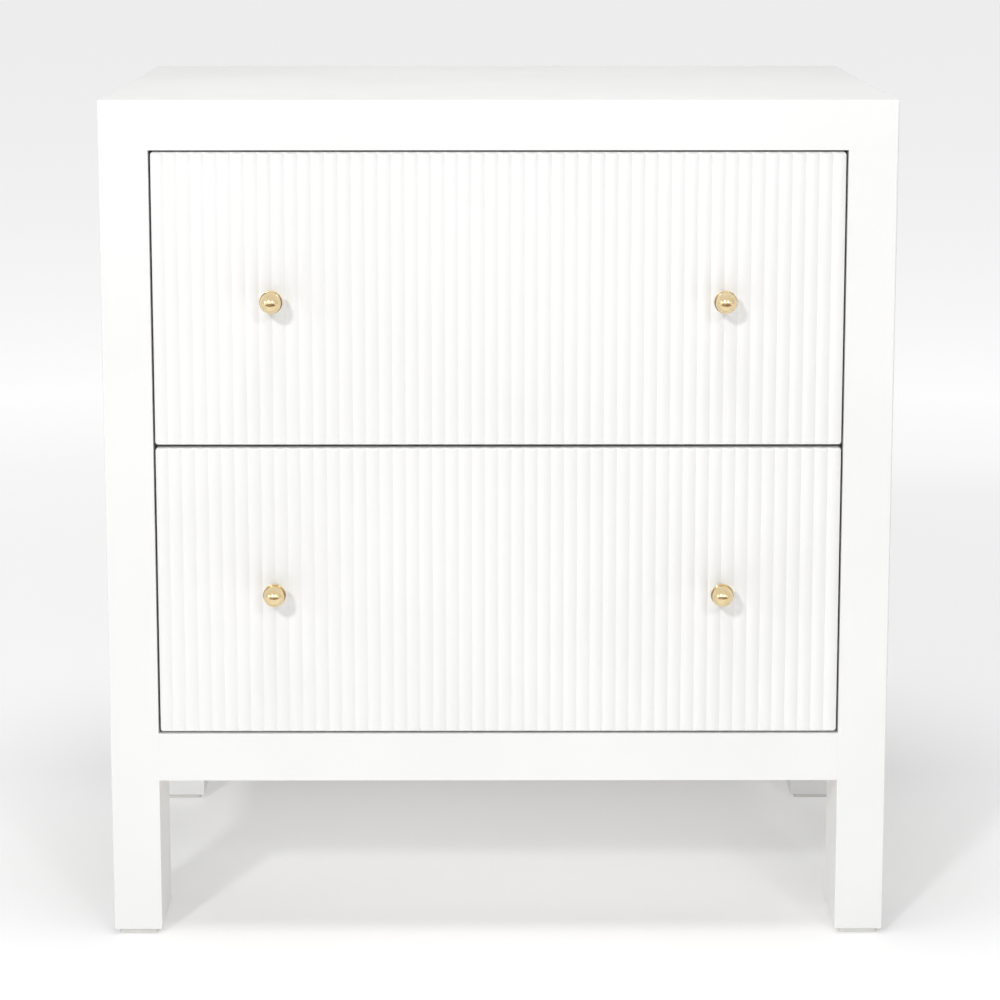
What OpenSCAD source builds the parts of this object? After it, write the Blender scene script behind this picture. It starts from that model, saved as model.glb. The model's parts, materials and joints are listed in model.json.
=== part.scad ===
// Two-drawer nightstand in white lacquer: a square-edged frame of equal-width members
// around two inset drawers with reeded fronts and brass ball knobs.
// +X is to the right seen from the front, the drawers open towards -Y, and Z is up.
// The origin is on the floor, in the middle of the outline seen from above, knobs included.

/* [Cabinet] */
// Overall width across the posts
body_w = 610; // [420:1:900]
// Overall depth of the cabinet, without the knobs
body_d = 457; // [370:1:600]
// Overall height from the floor to the top
body_h = 660; // [520:1:900]
// Thickness of the top
top_t = 38; // [30:1:50]
// Width of a post seen from the front
post_w = 38; // [30:1:60]
// Depth of a post from front to back
post_d = 76; // [62:1:110]
// Height of a bottom rail
rail_h = 38; // [30:1:60]
// Thickness of a bottom rail from front to back
rail_t = 22; // [18:1:30]
// Height of the legs between the glides and the bottom rails
leg_h = 122; // [60:1:200]
// Thickness of a side panel
side_t = 18; // [15:1:20]
// Thickness of the back panel
back_t = 9; // [6:1:12]
// Width of the rebate that holds the edge of the back panel
rebate_w = 10; // [8:1:14]
// Play of the back panel in its rebates, on each side
back_play = 0.5; // [0.3:0.1:1]
// Thickness of the bottom panel
bottom_t = 12; // [9:1:15]
// Depth of the bottom panel's face below the top of the rails
bottom_drop = 13; // [6:1:14]
// Depth of a bottom cleat from front to back
cleat_d = 18; // [16:1:24]
// Height of the rail between the drawers
divider_h = 18; // [16:1:22]
// Room between the back of a drawer front and the divider
divider_gap = 2; // [1:0.5:4]
// Height of a batten that carries a drawer slide
batten_h = 60; // [50:1:80]
// Height of a top cleat
top_cleat_h = 20; // [18:1:26]

/* [Floor glides] */
// Thickness of a glide
glide_t = 4; // [2:0.5:8]
// Distance from the faces of the post to the edge of its glide
glide_inset = 3.5; // [2:0.5:8]
// Corner cut of a glide
glide_corner = 3; // [1:0.5:5]

/* [Drawers] */
// Gap between a drawer front and the posts
side_gap = 1.5; // [1:0.5:4]
// Gap above the upper front and below the lower one
end_gap = 1.5; // [1:0.5:4]
// Gap between the two drawer fronts
middle_gap = 2.5; // [2:0.5:6]
// How far the crests of the reeds lie behind the frame's front face
front_recess = 0.5; // [0:0.5:6]
// Thickness of a drawer front over its reeds
front_t = 22; // [18:1:28]
// Width of one reed, before the reeds are fitted to the front
reed_w = 10.2; // [8:0.1:16]
// Rise of a reed above the valley beside it
reed_rise = 1.6; // [1:0.1:3]
// Bevel round the edges of a drawer front
front_bevel = 3; // [1:0.5:4]
// Thickness of the boards of a drawer box
box_t = 13; // [12:1:16]
// Height of the drawer box above the lower edge of its front
box_lift = 15.5; // [12:0.5:24]
// Distance from the top of the drawer box to the upper edge of its front
box_drop = 26; // [20:1:40]
// Free depth behind a closed drawer box
rear_room = 23.5; // [15:0.5:40]
// Thickness of the panel in the bottom of a drawer box
base_t = 6; // [4:1:8]
// Height of that panel above the lower edge of the box
base_up = 10; // [8:1:16]
// Depth of the groove that holds the panel
groove_d = 6; // [4:1:8]
// Play of the panel in its groove, on each side
groove_play = 0.2; // [0.1:0.1:0.4]

/* [Drawer slides] */
// Width taken by a slide between the cabinet and the drawer box
slide_w = 12.7; // [12.5:0.01:16]
// Height of a slide
slide_h = 45; // [42:1:50]
// Height of the slide's centre line above the lower edge of the drawer box
slide_up = 70; // [40:1:80]
// Distance from the back of the drawer front to the slide
slide_setback = 2; // [1:0.5:5]
// Thickness of the steel strip
steel_t = 1; // [0.8:0.1:1.2]
// Height of a ball race
race_h = 3.8; // [3.6:0.1:4.2]
// Clearance of the balls in a race, on each side
race_gap = 0.3; // [0.3:0.05:0.5]
// Clearance between neighbouring strips
strip_gap = 0.4; // [0.3:0.05:0.5]
// Thickness of the ball cages
cage_t = 0.5; // [0.4:0.1:0.6]
// Clearance between the lips of the outer members and the drawer box
lip_gap = 1.7; // [1:0.1:2.5]
// Pitch of the balls in a cage
ball_pitch = 20; // [10:1:30]

/* [Knobs] */
// Diameter of the ball
ball_d = 16; // [12:0.5:30]
// Distance from the reeds to the centre of the ball
ball_reach = 21; // [16:0.5:30]
// Distance from the ball's centre to the disc it sits on
ball_seat = 4.5; // [3:0.5:6]
// Diameter of the disc at the end of the stem
disc_d = 18; // [14:0.5:34]
// Thickness of the disc
disc_t = 1.6; // [1:0.1:3]
// Diameter of the stem
stem_d = 8; // [7:0.5:10]
// Diameter of the stem's foot on the reeds
foot_d = 11; // [10:0.5:20]
// Thickness of the foot
foot_t = 1.5; // [1:0.1:3]
// Distance from the side edge of a drawer front to a knob
knob_inset = 92; // [40:0.5:130]
// Distance of the knobs below the middle of a drawer front
knob_drop = 0; // [0:0.5:20]

/* [Fixings] */
// Diameter of the frame's dowels
dowel_d = 8; // [6:1:10]
// Length of the frame's dowels
dowel_l = 36; // [30:1:40]
// Diameter of the drawer boxes' dowels
box_dowel_d = 6; // [5:1:6]
// Length of the drawer boxes' dowels
box_dowel_l = 26; // [20:1:30]
// Diameter of a cabinet screw
screw_d = 4; // [3.5:0.5:4.5]
// Length of a cabinet screw
screw_l = 34; // [30:1:36]
// Diameter of a small screw, for the slides and the back panel
small_d = 3; // [2.5:0.5:3.5]
// Length of a slide screw
slide_screw_l = 12; // [10:1:12]
// Length of a back panel screw
back_screw_l = 20; // [16:1:24]
// Length of a screw that holds a drawer front to its box
front_screw_l = 28; // [24:1:30]
// Diameter of a knob's machine screw
knob_screw_d = 4; // [3:0.5:4]
// Depth of the threaded hole in a knob
knob_thread_l = 9; // [6:0.5:10]
// Clearance round a screw or dowel in its hole, on each side
hole_play = 0.05; // [0.03:0.01:0.1]

/* [Hidden] */
$fn = 48;
LEFT = -1;
RIGHT = 1;
FRONT = -1;
REAR = 1;

lacquer = "#F3F3F1";
birch = "#DCC49C";
beech = "#C99D66";
zinc = "#B4B9BD";
steel = "#85898C";
brass = "#CDA75A";
nylon = "#D9D9D3";

// Reach of the knobs beyond the cabinet, and the y of the cabinet's two faces
knob_out = ball_reach + ball_d / 2 - front_recess;
front_y = (knob_out - body_d) / 2;
back_y = front_y + body_d;

// Frame
opening_w = body_w - 2 * post_w;
post_top = body_h - top_t;
rail_z = glide_t + leg_h;
opening_z = rail_z + rail_h;
opening_h = post_top - opening_z;
batten_t = post_w - side_t;
post_mid_x = (body_w - post_w) / 2;
side_mid_x = (body_w - side_t) / 2;
bay_front = front_y + post_d;
bay_rear = back_y - post_d;

// Drawer fronts
face_y = front_y + front_recess;
front_w = opening_w - 2 * side_gap;
front_h = (opening_h - 2 * end_gap - middle_gap) / 2;
lower_z = opening_z + end_gap;
upper_z = lower_z + front_h + middle_gap;
reed_count = 2 * round(front_w / reed_w / 2);
reed_pitch = front_w / reed_count;
reed_r = (reed_pitch * reed_pitch / 4 + reed_rise * reed_rise) / (2 * reed_rise);
reed_steps = 6;
knob_x = front_w / 2 - knob_inset;
knob_up = front_h / 2 - knob_drop;
seat_reach = ball_reach - ball_seat;

// Drawer boxes
box_y = face_y + front_t;
box_l = back_y - back_t - rear_room - box_y;
box_w = opening_w - 2 * slide_w;
box_h = front_h - box_lift - box_drop;
inner_w = box_w - 2 * box_t;

// Slides: the u values run from the cabinet towards the drawer box
slide_y = box_y + slide_setback;
slide_l = box_l - slide_setback;
slide_rear = slide_y + slide_l;
slide_rise = box_lift + slide_up;
lip_u = slide_w - lip_gap;
outer_cage_u = steel_t + strip_gap;
middle_u = outer_cage_u + cage_t + strip_gap;
inner_cage_u = middle_u + steel_t + strip_gap;
drawer_lip_u = inner_cage_u + cage_t + strip_gap;
outer_v = slide_h / 2;
middle_v = outer_v - steel_t - race_h;
drawer_v = middle_v - steel_t - race_h;
bearing_d = race_h - 2 * race_gap;
ball_u = (drawer_lip_u + lip_u) / 2;
cage_end_room = 8;
cage_l = slide_l / 2 - 2 * cage_end_room;
cage_lip = 1;

// Fixings
screw_edge = 30;
divider_z = upper_z - middle_gap / 2 - divider_h / 2;
divider_y = box_y + divider_gap;
bottom_cleat_h = rail_h - bottom_drop - bottom_t;
panel_dowel_edge = 60;

// ---- shared shapes ----

// A block between two opposite corners
module block(low, high) translate(low) cube(high - low);

// What is drawn for the left side, put on either side
module on_side(side) {
  if (side == RIGHT) mirror([1, 0, 0]) children();
  else children();
}

// Evenly spread places between two ends
function spread(first, last, count) = [for (i = [0:count - 1]) first + (last - first) * i / (count - 1)];

// A pointed countersunk wood screw, its head in the z = 0 plane and its tip downwards.
// As a hole it takes the play on every side.
module wood_screw(d, l, play = 0) {
  r = d / 2;
  rotate_extrude() polygon([
    [0, -l - play], [r + play, -l + d - play], [r + play, -r - 0.1 - play], [d + play, 0], [0, 0]
  ]);
}

// A round dowel or its hole, centred on the origin along z
module dowel(d, l, play = 0) cylinder(d = d + 2 * play, h = l + 2 * play, center = true);

// ---- frame joints ----

// Upright dowels between the posts and the top
module top_dowels(play = 0) {
  for (x = [-post_mid_x, post_mid_x], end = [front_y, bay_rear], step = [1, 3])
    translate([x, end + step * post_d / 4, post_top]) dowel(dowel_d, dowel_l, play);
}

// Dowels along x that join the rails and the divider to the posts
module rail_dowels(play = 0) {
  for (x = [-opening_w / 2, opening_w / 2]) {
    for (y = [front_y + rail_t / 2, back_y - back_t - (rail_t - back_t) / 2], step = [1, 3])
      translate([x, y, rail_z + step * (rail_h - rebate_w / 2) / 4])
        rotate([0, 90, 0]) dowel(dowel_d, dowel_l, play);
    for (step = [1, 3])
      translate([x, divider_y + step * (bay_front - divider_y) / 4, divider_z + divider_h / 2])
        rotate([0, 90, 0]) dowel(dowel_d, dowel_l, play);
  }
}

// Dowels along y that join the side panels to the posts
module panel_dowels(play = 0) {
  for (x = [-side_mid_x, side_mid_x], y = [bay_front, bay_rear])
    for (z = spread(rail_z + panel_dowel_edge, post_top - panel_dowel_edge, 3))
      translate([x, y, z]) rotate([90, 0, 0]) dowel(dowel_d, dowel_l, play);
}

// Screws through the top cleats, up into the top and out into the side panels
module top_cleat_screws(play = 0) {
  for (side = [LEFT, RIGHT]) on_side(side) {
    for (y = spread(bay_front + screw_edge, bay_rear - screw_edge, 3))
      translate([-(opening_w + batten_t) / 2, y, post_top - top_cleat_h])
        rotate([180, 0, 0]) wood_screw(screw_d, screw_l, play);
    for (y = spread(bay_front + 2 * screw_edge, bay_rear - 2 * screw_edge, 2))
      translate([-opening_w / 2, y, post_top - top_cleat_h / 2])
        rotate([0, 90, 0]) wood_screw(screw_d, screw_l, play);
  }
}

// Screws through the battens into the side panels, hidden behind the slides
module batten_screws(play = 0) {
  for (side = [LEFT, RIGHT], z0 = [lower_z, upper_z], y = [bay_front + screw_edge, bay_rear - screw_edge])
    on_side(side) translate([-opening_w / 2, y, z0 + slide_rise])
      rotate([0, 90, 0]) wood_screw(screw_d, screw_l, play);
}

// Screws through the bottom cleats into the rails
module bottom_cleat_screws(play = 0) {
  for (x = spread(screw_edge - opening_w / 2, opening_w / 2 - screw_edge, 4)) {
    translate([x, front_y + rail_t + cleat_d, rail_z + bottom_cleat_h / 2])
      rotate([-90, 0, 0]) wood_screw(screw_d, screw_l, play);
    translate([x, back_y - rail_t - cleat_d, rail_z + bottom_cleat_h / 2])
      rotate([90, 0, 0]) wood_screw(screw_d, screw_l, play);
  }
}

// Screws round the edge of the back panel
module back_screws(play = 0) {
  x_edge = (opening_w + rebate_w) / 2;
  low = opening_z - rebate_w / 2;
  high = post_top + rebate_w / 2;
  for (x = [-x_edge, x_edge], z = spread(low + screw_edge, high - screw_edge, 5))
    translate([x, back_y, z]) rotate([-90, 0, 0]) wood_screw(small_d, back_screw_l, play);
  for (z = [low, high], x = spread(screw_edge - opening_w / 2, opening_w / 2 - screw_edge, 5))
    translate([x, back_y, z]) rotate([-90, 0, 0]) wood_screw(small_d, back_screw_l, play);
}

// Screws through the webs of the cabinet slides into the posts and battens
module slide_screws_out(play = 0) {
  for (side = [LEFT, RIGHT], z0 = [lower_z, upper_z])
    for (y = spread(slide_y + screw_edge, slide_rear - screw_edge, 4))
      on_side(side) translate([steel_t - opening_w / 2, y, z0 + slide_rise])
        rotate([0, 90, 0]) wood_screw(small_d, slide_screw_l, play);
}

// ---- cabinet ----

module top_panel() color(lacquer) difference() {
  block([-body_w / 2, front_y, post_top], [body_w / 2, back_y, body_h]);
  block([-opening_w / 2 - rebate_w, back_y - back_t, post_top - 1],
        [opening_w / 2 + rebate_w, back_y + 1, post_top + rebate_w]);
  top_dowels(hole_play);
  top_cleat_screws(hole_play);
  back_screws(hole_play);
}

// A post with the rebate of the back panel when it is a rear one
module post(side, end) color(lacquer) difference() {
  on_side(side) difference() {
    block([-body_w / 2, end == FRONT ? front_y : bay_rear, glide_t],
          [-opening_w / 2, end == FRONT ? bay_front : back_y, post_top]);
    if (end == REAR)
      block([-opening_w / 2 - rebate_w, back_y - back_t, opening_z - rebate_w],
            [1 - opening_w / 2, back_y + 1, post_top + 1]);
  }
  top_dowels(hole_play);
  rail_dowels(hole_play);
  panel_dowels(hole_play);
  slide_screws_out(hole_play);
  if (end == REAR) back_screws(hole_play);
}
module front_left_post() post(LEFT, FRONT);
module front_right_post() post(RIGHT, FRONT);
module rear_left_post() post(LEFT, REAR);
module rear_right_post() post(RIGHT, REAR);

module side_panel(side) color(lacquer) difference() {
  on_side(side) block([-body_w / 2, bay_front, rail_z], [side_t - body_w / 2, bay_rear, post_top]);
  panel_dowels(hole_play);
  top_cleat_screws(hole_play);
  batten_screws(hole_play);
}
module left_side_panel() side_panel(LEFT);
module right_side_panel() side_panel(RIGHT);

module front_bottom_rail() color(lacquer) difference() {
  block([-opening_w / 2, front_y, rail_z], [opening_w / 2, front_y + rail_t, opening_z]);
  rail_dowels(hole_play);
  bottom_cleat_screws(hole_play);
}

module rear_bottom_rail() color(lacquer) difference() {
  block([-opening_w / 2, back_y - rail_t, rail_z], [opening_w / 2, back_y, opening_z]);
  block([-opening_w / 2 - 1, back_y - back_t, opening_z - rebate_w],
        [opening_w / 2 + 1, back_y + 1, opening_z + 1]);
  rail_dowels(hole_play);
  bottom_cleat_screws(hole_play);
  back_screws(hole_play);
}

// The bottom panel, notched round the four posts
module bottom_panel() color(lacquer) {
  z = opening_z - bottom_drop - bottom_t;
  union() {
    block([-opening_w / 2, front_y + rail_t, z], [opening_w / 2, back_y - rail_t, z + bottom_t]);
    block([side_t - body_w / 2, bay_front, z], [body_w / 2 - side_t, bay_rear, z + bottom_t]);
  }
}

module back_panel() color(lacquer) difference() {
  block([back_play - opening_w / 2 - rebate_w, back_y - back_t, opening_z - rebate_w + back_play],
        [opening_w / 2 + rebate_w - back_play, back_y, post_top + rebate_w - back_play]);
  back_screws(hole_play);
}

module drawer_divider() color(lacquer) difference() {
  block([-opening_w / 2, divider_y, divider_z], [opening_w / 2, bay_front, divider_z + divider_h]);
  rail_dowels(hole_play);
}

module top_cleats() color(birch) difference() {
  for (side = [LEFT, RIGHT]) on_side(side)
    block([side_t - body_w / 2, bay_front, post_top - top_cleat_h], [-opening_w / 2, bay_rear, post_top]);
  top_cleat_screws(hole_play);
}

module bottom_cleats() color(birch) difference() {
  for (y = [front_y + rail_t, back_y - rail_t - cleat_d])
    block([-opening_w / 2, y, rail_z], [opening_w / 2, y + cleat_d, rail_z + bottom_cleat_h]);
  bottom_cleat_screws(hole_play);
}

// A pair of battens that fill out the side panels to the posts' inner faces
module slide_battens(z0) color(birch) difference() {
  z = z0 + slide_rise;
  for (side = [LEFT, RIGHT]) on_side(side)
    block([side_t - body_w / 2, bay_front, z - batten_h / 2], [-opening_w / 2, bay_rear, z + batten_h / 2]);
  batten_screws(hole_play);
  slide_screws_out(hole_play);
}
module upper_slide_battens() slide_battens(upper_z);
module lower_slide_battens() slide_battens(lower_z);

module frame_dowels() color(beech) {
  top_dowels();
  rail_dowels();
  panel_dowels();
}

module cabinet_screws() color(steel) {
  top_cleat_screws();
  batten_screws();
  bottom_cleat_screws();
}

module back_panel_screws() color(steel) back_screws();
module cabinet_slide_screws() color(steel) slide_screws_out();

// One glide under each post, with its corners cut
module floor_glides() color(nylon) {
  w = post_w / 2 - glide_inset;
  d = post_d / 2 - glide_inset;
  c = glide_corner;
  outline = [
    [-w + c, -d], [w - c, -d], [w, -d + c], [w, d - c], [w - c, d], [-w + c, d], [-w, d - c], [-w, -d + c]
  ];
  for (x = [-post_mid_x, post_mid_x], y = [front_y + post_d / 2, back_y - post_d / 2])
    translate([x, y, 0]) linear_extrude(glide_t) polygon(outline);
}

// ---- slides ----

// A channel section from its web to its lips, as high as v above and below the centre line
function channel(web, lip, v, t) = let (in = web + sign(lip - web) * t) [
  [web, -v], [lip, -v], [lip, t - v], [in, t - v], [in, v - t], [lip, v - t], [lip, v], [web, v]
];

// A section run along y between two places, on the left side at the height of a drawer's slides
module along_slide(z0, from, to)
  translate([-opening_w / 2, to, z0 + slide_rise]) rotate([90, 0, 0]) linear_extrude(to - from) children();

module cabinet_slide(side, z0) color(zinc) difference() {
  on_side(side) along_slide(z0, slide_y, slide_rear) polygon(channel(0, lip_u, outer_v, steel_t));
  slide_screws_out(hole_play);
}
module upper_left_cabinet_slide() cabinet_slide(LEFT, upper_z);
module upper_right_cabinet_slide() cabinet_slide(RIGHT, upper_z);
module lower_left_cabinet_slide() cabinet_slide(LEFT, lower_z);
module lower_right_cabinet_slide() cabinet_slide(RIGHT, lower_z);

// The middle members of a drawer's pair of slides
module middle_slides(z0) color(zinc) for (side = [LEFT, RIGHT]) on_side(side)
  along_slide(z0, slide_y, slide_rear) polygon(channel(middle_u, lip_u, middle_v, steel_t));
module upper_middle_slides() middle_slides(upper_z);
module lower_middle_slides() middle_slides(lower_z);

// The ball cages that run in the races outside a member of half height v
module ball_cages(z0, web, v) color(steel) for (side = [LEFT, RIGHT]) on_side(side) {
  ball_v = v + race_h / 2;
  middle = slide_y + slide_l / 2;
  count = floor(cage_l / ball_pitch);
  run = (count - 1) * ball_pitch;
  union() {
    along_slide(z0, middle - cage_l / 2, middle + cage_l / 2)
      polygon(channel(web, lip_u - cage_lip, ball_v + cage_t / 2, cage_t));
    for (y = spread(middle - run / 2, middle + run / 2, count), way = [-1, 1])
      translate([ball_u - opening_w / 2, y, z0 + slide_rise + way * ball_v]) sphere(d = bearing_d, $fn = 24);
  }
}
module upper_outer_ball_cages() ball_cages(upper_z, outer_cage_u, middle_v);
module lower_outer_ball_cages() ball_cages(lower_z, outer_cage_u, middle_v);
module upper_inner_ball_cages() ball_cages(upper_z, inner_cage_u, drawer_v);
module lower_inner_ball_cages() ball_cages(lower_z, inner_cage_u, drawer_v);

// Screws through the web of a drawer member into the side of the box
module slide_screws_in(z0, play = 0) {
  for (side = [LEFT, RIGHT], y = spread(slide_y + screw_edge, slide_rear - screw_edge, 3))
    on_side(side) translate([slide_w - steel_t - opening_w / 2, y, z0 + slide_rise])
      rotate([0, -90, 0]) wood_screw(small_d, slide_screw_l, play);
}
module upper_drawer_slide_screws() color(steel) slide_screws_in(upper_z);
module lower_drawer_slide_screws() color(steel) slide_screws_in(lower_z);

module drawer_slide(side, z0) color(zinc) difference() {
  on_side(side) along_slide(z0, slide_y, slide_rear)
    polygon(channel(slide_w, drawer_lip_u, drawer_v, steel_t));
  slide_screws_in(z0, hole_play);
}
module upper_left_drawer_slide() drawer_slide(LEFT, upper_z);
module upper_right_drawer_slide() drawer_slide(RIGHT, upper_z);
module lower_left_drawer_slide() drawer_slide(LEFT, lower_z);
module lower_right_drawer_slide() drawer_slide(RIGHT, lower_z);

// ---- drawers ----

// Outline of a reeded front seen from above, with the crests at y = 0
function reed_depth(x) = reed_r - sqrt(reed_r * reed_r - x * x);
function reeded_outline() = concat(
  [for (i = [0:reed_count - 1], k = [0:reed_steps]) if (k < reed_steps || i == reed_count - 1)
    let (x = (k / reed_steps - 0.5) * reed_pitch)
    [(i + 0.5) * reed_pitch - front_w / 2 + x, reed_depth(x)]],
  [[front_w / 2, front_t], [-front_w / 2, front_t]]
);

// Where the knobs' axes meet the crests of the reeds, with +z pointing out of the front
module at_knobs(z0) for (x = [-knob_x, knob_x])
  translate([x, face_y, z0 + knob_up]) rotate([90, 0, 0]) children();

// Screws from inside the box into the back of the drawer front
module front_screws(z0, play = 0) {
  x = inner_w / 2 - screw_edge;
  for (sx = [-x, x], z = [screw_edge, box_h - screw_edge])
    translate([sx, box_y + box_t, z0 + box_lift + z]) rotate([-90, 0, 0])
      wood_screw(screw_d, front_screw_l, play);
}
module upper_front_screws() color(steel) front_screws(upper_z);
module lower_front_screws() color(steel) front_screws(lower_z);

// The bore that a knob's screw passes through, from inside the box to the reeds
module knob_bore(z0) at_knobs(z0)
  translate([0, 0, -front_t - box_t - 1]) cylinder(d = knob_screw_d + 0.5, h = front_t + box_t + 2);

module drawer_front(z0) color(lacquer) difference() {
  translate([0, face_y, z0]) intersection() {
    linear_extrude(front_h) polygon(reeded_outline());
    hull() {
      block([-front_w / 2, front_bevel, 0], [front_w / 2, front_t, front_h]);
      block([front_bevel - front_w / 2, 0, front_bevel],
            [front_w / 2 - front_bevel, front_bevel, front_h - front_bevel]);
    }
  }
  knob_bore(z0);
  front_screws(z0, hole_play);
}
module upper_drawer_front() drawer_front(upper_z);
module lower_drawer_front() drawer_front(lower_z);

// The panel in the bottom of a box, or the groove that holds it
module base_panel(z0, play = 0) {
  reach = groove_d - groove_play + play;
  z = z0 + box_lift + base_up;
  block([-inner_w / 2 - reach, box_y + box_t - reach, z - play],
        [inner_w / 2 + reach, box_y + box_l - box_t + reach, z + base_t + play]);
}
module upper_box_base() color(birch) base_panel(upper_z);
module lower_box_base() color(birch) base_panel(lower_z);

// Dowels along x between the sides of a box and its front and back
module box_dowels(z0, play = 0) {
  into_side = box_t - 3;
  for (x = [-inner_w / 2, inner_w / 2], y = [box_y + box_t / 2, box_y + box_l - box_t / 2])
    for (z = spread(base_up + base_t + 16, box_h - 16, 3))
      translate([x + sign(x) * (into_side - box_dowel_l / 2), y, z0 + box_lift + z])
        rotate([0, 90, 0]) dowel(box_dowel_d, box_dowel_l, play);
}
module upper_box_dowels() color(beech) box_dowels(upper_z);
module lower_box_dowels() color(beech) box_dowels(lower_z);

module box_front(z0) color(birch) difference() {
  z = z0 + box_lift;
  block([-inner_w / 2, box_y, z], [inner_w / 2, box_y + box_t, z + box_h]);
  base_panel(z0, groove_play);
  box_dowels(z0, hole_play);
  knob_bore(z0);
  front_screws(z0, hole_play);
}
module upper_box_front() box_front(upper_z);
module lower_box_front() box_front(lower_z);

module box_back(z0) color(birch) difference() {
  z = z0 + box_lift;
  block([-inner_w / 2, box_y + box_l - box_t, z], [inner_w / 2, box_y + box_l, z + box_h]);
  base_panel(z0, groove_play);
  box_dowels(z0, hole_play);
}
module upper_box_back() box_back(upper_z);
module lower_box_back() box_back(lower_z);

module box_side(side, z0) color(birch) difference() {
  z = z0 + box_lift;
  on_side(side) block([-box_w / 2, box_y, z], [-inner_w / 2, box_y + box_l, z + box_h]);
  base_panel(z0, groove_play);
  box_dowels(z0, hole_play);
  slide_screws_in(z0, hole_play);
}
module upper_box_left_side() box_side(LEFT, upper_z);
module upper_box_right_side() box_side(RIGHT, upper_z);
module lower_box_left_side() box_side(LEFT, lower_z);
module lower_box_right_side() box_side(RIGHT, lower_z);

// ---- knobs ----

// A turned ball with a flat seat, bored for its screw
module knobs(z0) color(brass) at_knobs(z0) difference() {
  translate([0, 0, ball_reach]) sphere(d = ball_d, $fn = 96);
  block([-ball_d, -ball_d, 0], [ball_d, ball_d, seat_reach]);
  translate([0, 0, seat_reach - 1]) cylinder(d = knob_screw_d + 2 * hole_play, h = knob_thread_l + 1);
}
module upper_knobs() knobs(upper_z);
module lower_knobs() knobs(lower_z);

// A turned stem with a foot on the reeds and a thin disc under the ball
module knob_stems(z0) color(brass) at_knobs(z0) {
  bore = knob_screw_d / 2 + 0.25;
  disc_z = seat_reach - disc_t;
  rotate_extrude() polygon([
    [bore, 0], [foot_d / 2, 0], [foot_d / 2, foot_t], [stem_d / 2, foot_t],
    [stem_d / 2, disc_z], [disc_d / 2, disc_z], [disc_d / 2, seat_reach], [bore, seat_reach]
  ]);
}
module upper_knob_stems() knob_stems(upper_z);
module lower_knob_stems() knob_stems(lower_z);

// A machine screw with a low round head against the inside of the box
module knob_screws(z0) color(steel) at_knobs(z0) {
  head_h = 2.2;
  inside = -front_t - box_t;
  union() {
    translate([0, 0, inside - head_h]) cylinder(d1 = 1.4 * knob_screw_d, d2 = 2.2 * knob_screw_d, h = head_h);
    translate([0, 0, inside - head_h / 2])
      cylinder(d = knob_screw_d, h = head_h / 2 - inside + seat_reach + knob_thread_l - 1);
  }
}
module upper_knob_screws() knob_screws(upper_z);
module lower_knob_screws() knob_screws(lower_z);

top_panel();
front_left_post();
front_right_post();
rear_left_post();
rear_right_post();
left_side_panel();
right_side_panel();
front_bottom_rail();
rear_bottom_rail();
bottom_panel();
back_panel();
drawer_divider();
top_cleats();
bottom_cleats();
upper_slide_battens();
lower_slide_battens();
frame_dowels();
cabinet_screws();
back_panel_screws();
upper_left_cabinet_slide();
upper_right_cabinet_slide();
lower_left_cabinet_slide();
lower_right_cabinet_slide();
cabinet_slide_screws();
floor_glides();
upper_drawer_front();
upper_box_front();
upper_box_back();
upper_box_left_side();
upper_box_right_side();
upper_box_base();
upper_box_dowels();
upper_knobs();
upper_knob_stems();
upper_knob_screws();
upper_front_screws();
upper_left_drawer_slide();
upper_right_drawer_slide();
upper_drawer_slide_screws();
upper_middle_slides();
upper_outer_ball_cages();
upper_inner_ball_cages();
lower_drawer_front();
lower_box_front();
lower_box_back();
lower_box_left_side();
lower_box_right_side();
lower_box_base();
lower_box_dowels();
lower_knobs();
lower_knob_stems();
lower_knob_screws();
lower_front_screws();
lower_left_drawer_slide();
lower_right_drawer_slide();
lower_drawer_slide_screws();
lower_middle_slides();
lower_outer_ball_cages();
lower_inner_ball_cages();
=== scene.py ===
"""Finishes the two-drawer nightstand: sprayed boards, reeded fronts, brass knobs, birch drawer boxes
and rolled steel slides, each built on its own node of the fixed CAD frame. Places are in metres.
Radii, turned profiles and the sections of strips are in millimetres, and MM makes them metres."""

import json
import math

import bmesh
import bpy
import numpy as np
from mathutils import Matrix, Vector

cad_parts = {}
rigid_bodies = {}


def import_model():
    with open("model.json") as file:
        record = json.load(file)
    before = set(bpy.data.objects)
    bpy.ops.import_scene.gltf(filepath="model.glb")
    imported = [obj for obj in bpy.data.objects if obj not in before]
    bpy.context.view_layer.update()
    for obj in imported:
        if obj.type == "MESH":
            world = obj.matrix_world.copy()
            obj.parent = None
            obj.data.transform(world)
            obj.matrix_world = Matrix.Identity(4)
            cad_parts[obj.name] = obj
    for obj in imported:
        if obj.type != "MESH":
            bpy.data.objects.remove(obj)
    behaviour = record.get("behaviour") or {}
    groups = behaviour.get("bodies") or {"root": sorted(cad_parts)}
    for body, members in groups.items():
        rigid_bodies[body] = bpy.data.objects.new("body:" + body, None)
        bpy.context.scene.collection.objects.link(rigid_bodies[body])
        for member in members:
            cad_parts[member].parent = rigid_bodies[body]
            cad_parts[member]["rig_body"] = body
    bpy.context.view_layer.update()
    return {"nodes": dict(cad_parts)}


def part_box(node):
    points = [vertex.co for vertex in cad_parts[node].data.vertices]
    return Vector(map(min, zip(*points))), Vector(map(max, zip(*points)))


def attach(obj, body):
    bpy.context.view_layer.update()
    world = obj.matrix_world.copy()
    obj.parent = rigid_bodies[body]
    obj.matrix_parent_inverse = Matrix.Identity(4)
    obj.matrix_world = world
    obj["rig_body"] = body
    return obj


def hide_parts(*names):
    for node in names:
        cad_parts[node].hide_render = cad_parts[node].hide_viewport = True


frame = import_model()
MM = 0.001
FACES = {
    "-x": (-1, 0, 0), "+x": (1, 0, 0), "-y": (0, -1, 0), "+y": (0, 1, 0), "-z": (0, 0, -1), "+z": (0, 0, 1),
}
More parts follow.
